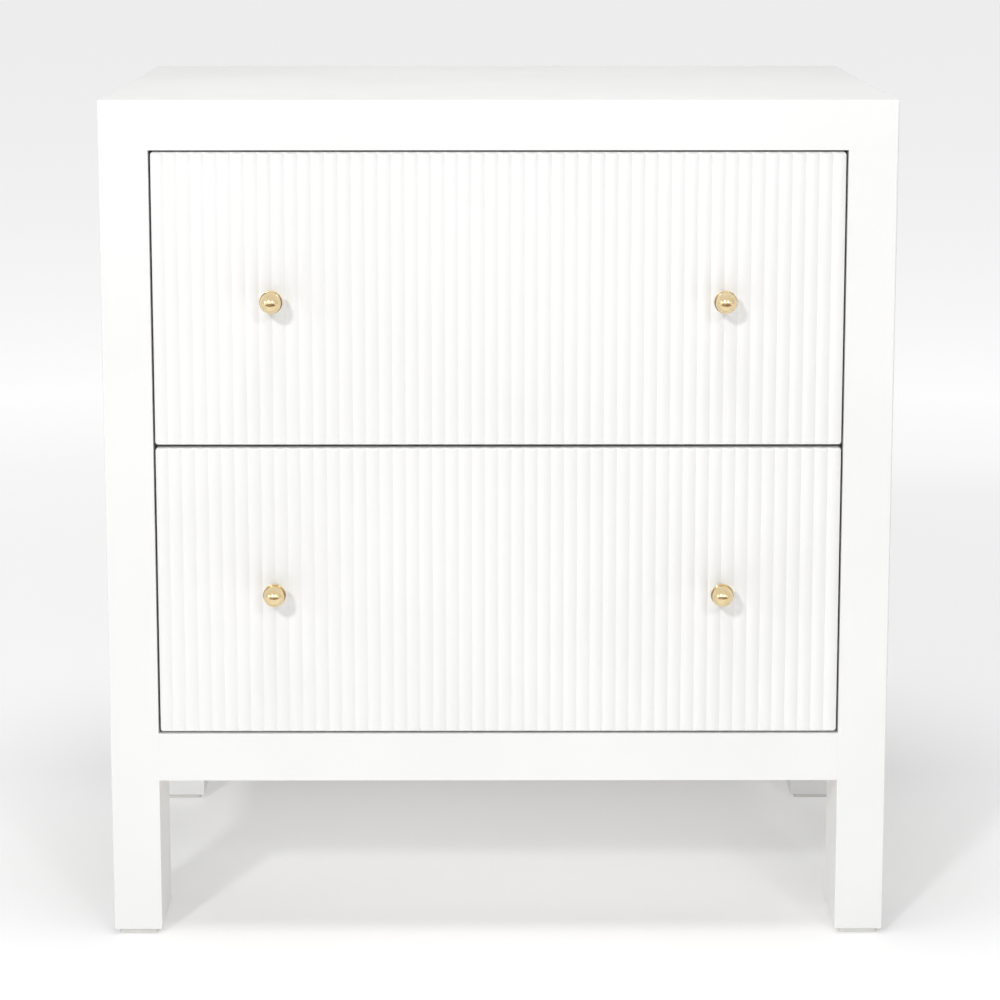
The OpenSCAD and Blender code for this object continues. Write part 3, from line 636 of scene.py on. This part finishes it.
def cabinet_boards():
    """The sprayed frame. Outer corners are rounded 1.5 mm, edges round the opening 0.2 mm,
    and the glued joints are filled and sanded, so that they hardly show."""
    slot = "white_lacquer"
    outer, inner, joint, loose = 1.5, 0.2, 0.06, 1.0
    slack, past, beside = 0.5 * MM, 1.0, 0.1
    back_low, back_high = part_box("back_panel")
    left, right, under = back_low.x - slack, back_high.x + slack, back_low.z - slack

    low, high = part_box("top_panel")
    rebate = (Vector((left, back_low.y, 0)), Vector((right, past, back_high.z + slack)))
    rounds = {("+z", side): outer for side in SIDES} | {corner: outer for corner in CORNERS}
    finished("finished_top", board(low, high, [rebate], joint, rounds), "cabinet", slot, "top_panel")

    for node in POSTS:
        out, inward = ("-x", "+x") if "left" in node else ("+x", "-x")
        end = "-y" if "front" in node else "+y"
        rounds = {(out, end): outer, (inward, end): inner} | {("-z", side): inner for side in SIDES}
        rebate = (Vector((left, back_low.y, under)), Vector((right, past, past)))
        mesh = board_like(node, notches=[rebate] if "rear" in node else [], arris=joint, rounds=rounds)
        finished(f"finished_{node}", mesh, "cabinet", slot, node)

    for node in ("left_side_panel", "right_side_panel"):
        mesh = board_like(node, arris=joint, rounds={("-z", "-x"): inner, ("-z", "+x"): inner})
        finished(f"finished_{node}", mesh, "cabinet", slot, node)

    mesh = board_like("front_bottom_rail", arris=joint, rounds={("-z", "-y"): inner, ("+z", "-y"): inner})
    finished("finished_front_rail", mesh, "cabinet", slot, "front_bottom_rail")
    rebate = (Vector((-past, back_low.y, under)), Vector((past, past, past)))
    mesh = board_like("rear_bottom_rail", notches=[rebate], arris=joint, rounds={("-z", "+y"): inner})
    finished("finished_rear_rail", mesh, "cabinet", slot, "rear_bottom_rail")

    low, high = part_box("bottom_panel")
    notches = []
    for node in POSTS:
        a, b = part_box(node)
        near = Vector((low.x - beside if a.x < 0 else a.x, low.y - beside if a.y < 0 else a.y, 0))
        far = Vector((b.x if a.x < 0 else high.x + beside, b.y if a.y < 0 else high.y + beside, past))
        notches.append((near, far))
    finished("finished_bottom", board(low, high, notches), "cabinet", slot, "bottom_panel")
    mesh = board_like("drawer_divider", arris=loose)
    finished("finished_divider", mesh, "cabinet", slot, "drawer_divider")
    for node in ("top_cleats", "bottom_cleats", "upper_slide_battens", "lower_slide_battens"):
        finished(f"planed_{node}", boards_like(node, arris=loose), "cabinet", "raw_pine", node)
    rounds = {corner: 3.0 for corner in CORNERS} | {("-z", side): 0.8 for side in SIDES}
    mesh = boards_like("floor_glides", rounds=rounds)
    finished("moulded_glides", mesh, "cabinet", "nylon", "floor_glides")


# ---- drawers ----

def front_blank(low, high, rim, reeds, per_reed=10):
    """A closed blank for a drawer front, with its upright corners rounded by the rim radius.
    It stores how far each point of its face is from the edge."""
    steps, closest = 6, 0.12 * MM
    graded = [rim * (1 - math.cos(math.radians(90 * i / steps))) for i in range(steps + 1)]
    count = reeds * per_reed
    places = [low.x + (high.x - low.x) * i / count for i in range(count + 1)]
    places += [low.x + g for g in graded] + [high.x - g for g in graded]
    places = sorted({round(place, 7) for place in places})
    columns = places[:1]
    for place in places:
        if place - columns[-1] > closest:
            columns.append(place)
    columns[-1] = places[-1]
    thirds = [(low.z * (3 - i) + high.z * i) / 3 for i in (1, 2)]
    rows = [low.z + g for g in graded] + thirds + [high.z - g for g in reversed(graded)]
    bm = bmesh.new()
    edge = bm.verts.layers.float.new("to_edge")
    face = bm.verts.layers.bool.new("on_face")
    middle = (low + high) / 2
    half_x, half_z = (high.x - low.x) / 2 - rim, (high.z - low.z) / 2 - rim

    def corner(x, z):
        """Bends the corners of the outline round, and gives the distance to the edge."""
        a, b = (abs(x - middle.x) - half_x) / rim, (abs(z - middle.z) - half_z) / rim
        if a > 0 and b > 0:
            far = max(a, b) / math.hypot(a, b)
            x = middle.x + math.copysign(half_x + a * far * rim, x - middle.x)
            z = middle.z + math.copysign(half_z + b * far * rim, z - middle.z)
        return x, z, rim * (1 - max(a, b))

    grid = []
    for z in rows:
        line = []
        for x in columns:
            px, pz, distance = corner(x, z)
            vert = bm.verts.new((px, low.y, pz))
            vert[edge] = max(distance, 0)
            vert[face] = True
            line.append(vert)
        grid.append(line)
    for one, two in zip(grid, grid[1:]):
        for i in range(len(columns) - 1):
            bm.faces.new((one[i], one[i + 1], two[i + 1], two[i]))
    loop = grid[0] + [g[-1] for g in grid[1:]] + grid[-1][-2::-1] + [g[0] for g in grid[-2:0:-1]]
    arris = 0.6 * MM
    rings = [loop]
    for y, inset in ((high.y - arris, 0), (high.y - 0.3 * arris, 0.3 * arris), (high.y, arris)):
        ring = []
        for vert in loop:
            out = Vector((vert.co.x - middle.x, 0, vert.co.z - middle.z))
            dx = inset if abs(out.x) > half_x else 0
            dz = inset if abs(out.z) > half_z else 0
            x = vert.co.x - math.copysign(dx, out.x)
            ring.append(bm.verts.new((x, y, vert.co.z - math.copysign(dz, out.z))))
        rings.append(ring)
    for one, two in zip(rings, rings[1:]):
        for i in range(len(loop)):
            j = (i + 1) % len(loop)
            bm.faces.new((one[j], one[i], two[i], two[j]))
    bm.faces.new(rings[-1])
    bmesh.ops.recalc_face_normals(bm, faces=bm.faces)
    mesh = bpy.data.meshes.new("blank")
    bm.to_mesh(mesh)
    bm.free()
    return mesh


def drawer_front(level):
    """A front of 52 convex reeds that rise 1.6 mm, between rounded rims."""
    node = f"{level}_drawer_front"
    low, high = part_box(node)
    reeds, rise, rim = 52, 1.6 * MM, 2.4 * MM
    pitch = (high.x - low.x) / reeds
    radius = (pitch ** 2 / 4 + rise ** 2) / (2 * rise)
    mesh = grown(front_blank(low, high, rim, reeds), REEDS, "white_lacquer",
                 left=low.x, pitch=pitch, reed_radius=radius, rim_radius=rim)
    smooth(mesh, 38)
    finished(f"reeded_{level}_front", mesh, f"{level}_drawer", "white_lacquer", node)


def knob_set(level):
    """Turned balls, each on the thin disc of a stem that stands on the reeds."""
    body = f"{level}_drawer"
    ball, reach, seat = 8.0, 21.0, 16.5
    foot, foot_top, neck, disc, disc_back = 5.5, 1.5, 4.0, 9.0, 14.9
    foot_arris, foot_round, foot_fillet, disc_fillet, disc_round = 0.3, 0.5, 1.0, 1.6, 0.4
    edge = -math.degrees(math.asin((reach - seat) / ball))
    round_ball = [(0, seat), *arc((0, reach), ball, edge, 90, 36)[:-1], (0, reach + ball)]
    stem = [
        (0, 0),
        *arc((foot - foot_arris, foot_arris), foot_arris, -90, 0, 3),
        *arc((foot - foot_round, foot_top - foot_round), foot_round, 0, 90, 4),
        *arc((neck + foot_fillet, foot_top + foot_fillet), foot_fillet, 270, 180, 5),
        *arc((neck + disc_fillet, disc_back - disc_fillet), disc_fillet, 180, 90, 6),
        *arc((disc - disc_round, disc_back + disc_round), disc_round, -90, 0, 4),
        *arc((disc - disc_round, seat - disc_round), disc_round, 0, 90, 4),
        (0, seat),
    ]
    boxes = part_boxes(f"{level}_knob_stems")
    centres = [Vector(((low.x + high.x) / 2, high.y, (low.z + high.z) / 2)) for low, high in boxes]
    for part, profile, node in (("balls", round_ball, "knobs"), ("stems", stem, "knob_stems")):
        mesh = joined([lathe(profile, centre) for centre in centres])
        finished(f"turned_{level}_{part}", mesh, body, "polished_brass", f"{level}_{node}")


def screw_places(node):
    """The middle of each screw's head and the way it faces, read from the CAD node."""
    heads, ways, head_d, length = [], [], 0, 0
    for points in parts_of(node):
        low, high = points.min(0), points.max(0)
        axis = int(np.argmax(high - low))
        across = [i for i in range(3) if i != axis]
        middle = (low + high) / 2
        reach = np.hypot(*(points[:, i] - middle[i] for i in across))
        up = points[np.argmax(reach), axis] > middle[axis]
        way = np.zeros(3)
        way[axis] = 1 if up else -1
        head = middle.copy()
        head[axis] = high[axis] if up else low[axis]
        heads.append(head)
        ways.append(way)
        head_d, length = 2 * reach.max(), (high - low)[axis]
    return heads, ways, head_d, length


def wood_screws(node, proud=0.12):
    """The countersunk screws of a CAD node, whose heads stand proud by so many millimetres."""
    heads, ways, head_d, length = screw_places(node)
    clearance = 0.05 * MM
    top, shank = head_d / 2 - clearance, head_d / 4
    mesh = grown(points_mesh(heads, ways), SCREWS, "screw_steel", top_radius=top, under_radius=shank,
                 head_height=top - shank, shank_radius=shank, length=length, tip=2 * shank, proud=proud * MM)
    finished(f"driven_{node}", mesh, body_of(node), "screw_steel", node)


def machine_screws(node):
    """The knobs' machine screws, with low round heads inside the box."""
    heads, ways, head_d, length = screw_places(node)
    crown, head, shank, tip = 0.64, 2.2 * MM, 2.0 * MM, 0.5 * MM
    mesh = grown(points_mesh(heads, ways), SCREWS, "screw_steel", top_radius=crown * head_d / 2,
                 under_radius=head_d / 2, head_height=head, shank_radius=shank, length=length, tip=tip,
                 proud=0.0)
    finished(f"driven_{node}", mesh, body_of(node), "screw_steel", node)


def drawer_box(level):
    """A birch ply box: rounded top edges, sides over the front and back, and a panel in its grooves."""
    body = f"{level}_drawer"
    for part in ("box_front", "box_back", "box_left_side", "box_right_side"):
        node = f"{level}_{part}"
        along = ("-y", "+y") if part in ("box_front", "box_back") else ("-x", "+x")
        rounds = {("+z", s): 2.0 for s in along}
        finished(f"jointed_{node}", board_like(node, arris=0.4, rounds=rounds), body, "birch_ply", node)
    node = f"{level}_box_base"
    finished(f"fitted_{level}_base", board_like(node), body, "birch_ply", node)


# ---- slides ----

def strip(path, radius, thickness, steps=5):
    """The outline of a bent strip, from the middle line of its section and the radius of its bends."""
    points = [Vector(p) for p in path]
    line = [points[0]]
    for before, at, after in zip(points, points[1:], points[2:]):
        a, b = (before - at).normalized(), (after - at).normalized()
        turn = math.pi - a.angle(b)
        start = at + a * radius * math.tan(turn / 2)
        centre = at + (a + b).normalized() * radius / math.cos(turn / 2)
        sweep = (start - centre).angle_signed((at + b * radius * math.tan(turn / 2)) - centre)
        for i in range(steps + 1):
            line.append(centre + Matrix.Rotation(-sweep * i / steps, 2) @ (start - centre))
    line.append(points[-1])
    left, right = [], []
    for i, p in enumerate(line):
        ahead = (line[min(i + 1, len(line) - 1)] - line[max(i - 1, 0)]).normalized()
        side = Vector((-ahead.y, ahead.x)) * thickness / 2
        left.append(p + side)
        right.append(p - side)
    return left + right[::-1]


def run_along(outline, side, x0, z0, y0, y1):
    """Runs a section of (out from the wall, up) points along y, on the left or right wall."""
    bm = bmesh.new()
    ends = []
    for y in (y0, y1):
        ends.append([bm.verts.new((x0 - side * p.x * MM, y, z0 + p.y * MM)) for p in outline])
    count = len(outline)
    for i in range(count):
        j = (i + 1) % count
        bm.faces.new((ends[0][i], ends[0][j], ends[1][j], ends[1][i]))
    half = count // 2
    for ring in ends:
        for i in range(half - 1):
            bm.faces.new((ring[i], ring[i + 1], ring[count - 2 - i], ring[count - 1 - i]))
    bmesh.ops.recalc_face_normals(bm, faces=bm.faces)
    mesh = bpy.data.meshes.new("strip")
    bm.to_mesh(mesh)
    bm.free()
    smooth(mesh, 30)
    return mesh


def channel(web, lip, half, thickness, radius=1.3):
    """A rolled channel: an upright web, and two flanges that reach to the lip."""
    inner = web + math.copysign(thickness / 2, lip - web)
    v = half - thickness / 2
    return strip([(lip, -v), (inner, -v), (inner, v), (lip, v)], radius, thickness)


def wall_faces():
    """The inner face of the posts on each side, where the slides are screwed."""
    return {-1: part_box("front_left_post")[1].x, 1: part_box("front_right_post")[0].x}


def off_wall(low, high, wall):
    """How far the near and the far face of a box stand off the wall, in millimetres."""
    return sorted(abs(abs(wall) - abs(x)) / MM for x in (low.x, high.x))


def slides(level):
    """Both slides of a drawer: their cabinet, middle and drawer members."""
    walls, thickness = wall_faces(), 1.0
    for side, word in ((-1, "left"), (1, "right")):
        for owner, body in (("cabinet", "cabinet"), ("drawer", f"{level}_drawer")):
            node = f"{level}_{word}_{owner}_slide"
            low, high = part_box(node)
            near, far = off_wall(low, high, walls[side])
            web, lip = (near, far) if owner == "cabinet" else (far, near)
            section = channel(web, lip, (high.z - low.z) / 2 / MM, thickness)
            mesh = run_along(section, side, walls[side], (low.z + high.z) / 2, low.y, high.y)
            finished(f"rolled_{node}", mesh, body, "zinc_plated_steel", node)
    node = f"{level}_middle_slides"
    meshes = []
    for low, high in part_boxes(node):
        side = -1 if low.x < 0 else 1
        near, far = off_wall(low, high, walls[side])
        section = channel(near, far, (high.z - low.z) / 2 / MM, thickness)
        meshes.append(run_along(section, side, walls[side], (low.z + high.z) / 2, low.y, high.y))
    finished(f"rolled_{node}", joined(meshes), f"{level}_middle_members", "zinc_plated_steel", node)


def ball_cages(level, which):
    """A pair of pressed cages and the balls they carry."""
    node = f"{level}_{which}_ball_cages"
    walls = wall_faces()
    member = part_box(f"{level}_middle_slides" if which == "outer" else f"{level}_left_drawer_slide")
    half = (member[1].z - member[0].z) / 2 / MM
    race, thickness, bend, ball, pitch = 3.8, 0.5, 0.7, 3.2, 0.020
    meshes, balls = [], []
    for low, high in part_boxes(node):
        side = -1 if low.x < 0 else 1
        near, far = off_wall(low, high, walls[side])
        up = (low.z + high.z) / 2
        section = channel(near, far, half + race / 2 + thickness / 2, thickness, bend)
        meshes.append(run_along(section, side, walls[side], up, low.y, high.y))
        count = int((high.y - low.y) // pitch)
        first = (low.y + high.y) / 2 - (count - 1) * pitch / 2
        x = walls[side] - side * (far - ball / 2) * MM
        for i in range(count):
            for way in (-1, 1):
                balls.append((x, first + i * pitch, up + way * (half + race / 2) * MM))
    meshes.append(grown(points_mesh(balls), BALLS, "bearing_steel", radius=ball / 2 * MM))
    finished(f"pressed_{node}", joined(meshes), f"{level}_{which}_cages", "bearing_steel", node)


# ---- put together ----

cabinet_boards()
for level in ("upper", "lower"):
    drawer_front(level)
    knob_set(level)
    drawer_box(level)
    slides(level)
    for which in ("outer", "inner"):
        ball_cages(level, which)
    wood_screws(f"{level}_front_screws")
    wood_screws(f"{level}_drawer_slide_screws")
    machine_screws(f"{level}_knob_screws")
wood_screws("cabinet_screws")
wood_screws("cabinet_slide_screws")
wood_screws("back_panel_screws", proud=0)

for node, slot in (
    ("back_panel", "white_lacquer"), ("frame_dowels", "beech_dowel"),
    ("upper_box_dowels", "beech_dowel"), ("lower_box_dowels", "beech_dowel"),
):
    obj = frame["nodes"][node]
    for place in obj.material_slots:
        place.material = FINISHES[slot]


# ---- studio ----

FLOOR_RADIUS, BACKDROP_RADIUS = 45, 44.9
ROOM_X, ROOM_Y, ROOM_LOW, ROOM_HIGH = 4.6, 5, 0.1, 3.2
BAND_Y, BAND_LOW, BAND_HIGH = -3.4, 0.75, 2.1


def staged(name, bm, material):
    """An object of the studio, which is no part of the nightstand."""
    mesh = bpy.data.meshes.new(name)
    bm.to_mesh(mesh)
    bm.free()
    mesh.materials.append(material)
    obj = bpy.data.objects.new(name, mesh)
    bpy.context.scene.collection.objects.link(obj)
    return obj


def floor():
    """A plain pale floor with a painted glow that is weaker near the cabinet and stronger away from it, like
    a lit sweep.
    """
    bm = bmesh.new()
    bmesh.ops.create_circle(bm, cap_ends=True, segments=96, radius=FLOOR_RADIUS)
    bmesh.ops.translate(bm, verts=bm.verts, vec=(0, 0, -0.3 * MM))
    material, tree, shader = new_finish(
        "pale_floor", Base_Color=colour("#DCDCDC"), Roughness=0.9, Specular_IOR_Level=0.1
    )
    shader.inputs["Emission Color"].default_value = (1, 1, 1, 1)
    place = add(tree, "ShaderNodeTexCoord")["Object"]
    away = add(tree, "ShaderNodeVectorMath", {0: place}, operation="LENGTH")["Value"]
    # Painted light: the floor's glow rises with distance from the middle, so the floor is darker near the
    # cabinet.
    glow = add(tree, "ShaderNodeMapRange", {
        "Value": away, "From Min": 0.3, "From Max": 2.6, "To Min": 0.30, "To Max": 0.70,
    })["Result"]
    tree.links.new(glow, shader.inputs["Emission Strength"])
    material.cycles.emission_sampling = "NONE"
    staged("floor", bm, material)


def card(name, corners, tone, strength):
    """A lit card that only shows in reflections."""
    bm = bmesh.new()
    bm.faces.new([bm.verts.new(c) for c in corners])
    material = new_finish(
        name, Base_Color=(0, 0, 0, 1), Emission_Color=colour(tone), Emission_Strength=strength
    )[0]
    material.cycles.emission_sampling = "NONE"
    obj = staged(name, bm, material)
    obj.visible_camera = obj.visible_diffuse = obj.visible_shadow = obj.visible_transmission = False


def backdrop():
    """A pale wall far behind, as bright as the floor's far edge. It gives no light of its own."""
    bm = bmesh.new()
    bmesh.ops.create_uvsphere(bm, u_segments=48, v_segments=24, radius=BACKDROP_RADIUS)
    material = new_finish(
        "backdrop", Base_Color=(0, 0, 0, 1), Emission_Color=(1, 1, 1, 1), Emission_Strength=0.88
    )[0]
    material.cycles.emission_sampling = "NONE"
    obj = staged("backdrop", bm, material)
    obj.visible_diffuse = obj.visible_glossy = obj.visible_shadow = obj.visible_transmission = False


def lamp(name, place, aim, size, power):
    """A round soft light."""
    data = bpy.data.lights.new(name, "AREA")
    data.shape = "DISK"
    data.size = size
    data.energy = power
    obj = bpy.data.objects.new(name, data)
    obj.location = place
    obj.rotation_euler = (Vector(aim) - Vector(place)).to_track_quat("-Z", "Y").to_euler()
    bpy.context.scene.collection.objects.link(obj)
    return obj


floor()
backdrop()
card("window_band", (
    (-ROOM_X, BAND_Y, BAND_LOW), (ROOM_X, BAND_Y, BAND_LOW),
    (ROOM_X, BAND_Y, BAND_HIGH), (-ROOM_X, BAND_Y, BAND_HIGH),
), "#FFFFFF", 1.5)
card("ceiling", (
    (-ROOM_Y, -ROOM_Y, ROOM_HIGH), (ROOM_Y, -ROOM_Y, ROOM_HIGH),
    (ROOM_Y, ROOM_Y, ROOM_HIGH), (-ROOM_Y, ROOM_Y, ROOM_HIGH),
), "#FFFFFF", 0.9)
card("left_wall", (
    (-ROOM_X, ROOM_Y, ROOM_LOW), (-ROOM_X, -ROOM_Y, ROOM_LOW),
    (-ROOM_X, -ROOM_Y, ROOM_HIGH), (-ROOM_X, ROOM_Y, ROOM_HIGH),
), "#FFFFFF", 0.9)
card("right_wall", (
    (ROOM_X, -ROOM_Y, ROOM_LOW), (ROOM_X, ROOM_Y, ROOM_LOW),
    (ROOM_X, ROOM_Y, ROOM_HIGH), (ROOM_X, -ROOM_Y, ROOM_HIGH),
), "#FFFFFF", 0.8)
# Painted reflection: a dim brown glowing card, seen only in reflections, that puts a dark warm reflection low
# on the brass balls.
card("wooden_boards", (
    (-2.0, -3.3, 0.4), (2.0, -3.3, 0.4), (1.5, -1.0, 0.02), (-1.5, -1.0, 0.02),
), "#8A6236", 0.9)
lamp("key", place=(-1.95, -5.2, 3.0), aim=(0, -0.2, 0.4), size=0.5, power=108)
lamp("fill", place=(1.75, -5.2, 2.7), aim=(0, -0.2, 0.4), size=0.5, power=38)
lamp("side_window", place=(-4.4, -2.4, 1.5), aim=(0, -0.2, 0.35), size=1.8, power=16)
top_light = lamp("top_light", place=(0, -0.35, 2.5), aim=(0, 0, 0), size=1.2, power=34)
top_light.visible_glossy = False
world = bpy.data.worlds.new("studio")
world.use_nodes = True
background = world.node_tree.nodes["Background"]
background.inputs["Color"].default_value = (1, 1, 1, 1)
background.inputs["Strength"].default_value = 0.2
bpy.context.scene.world = world
bpy.context.scene.view_settings.view_transform = "Standard"
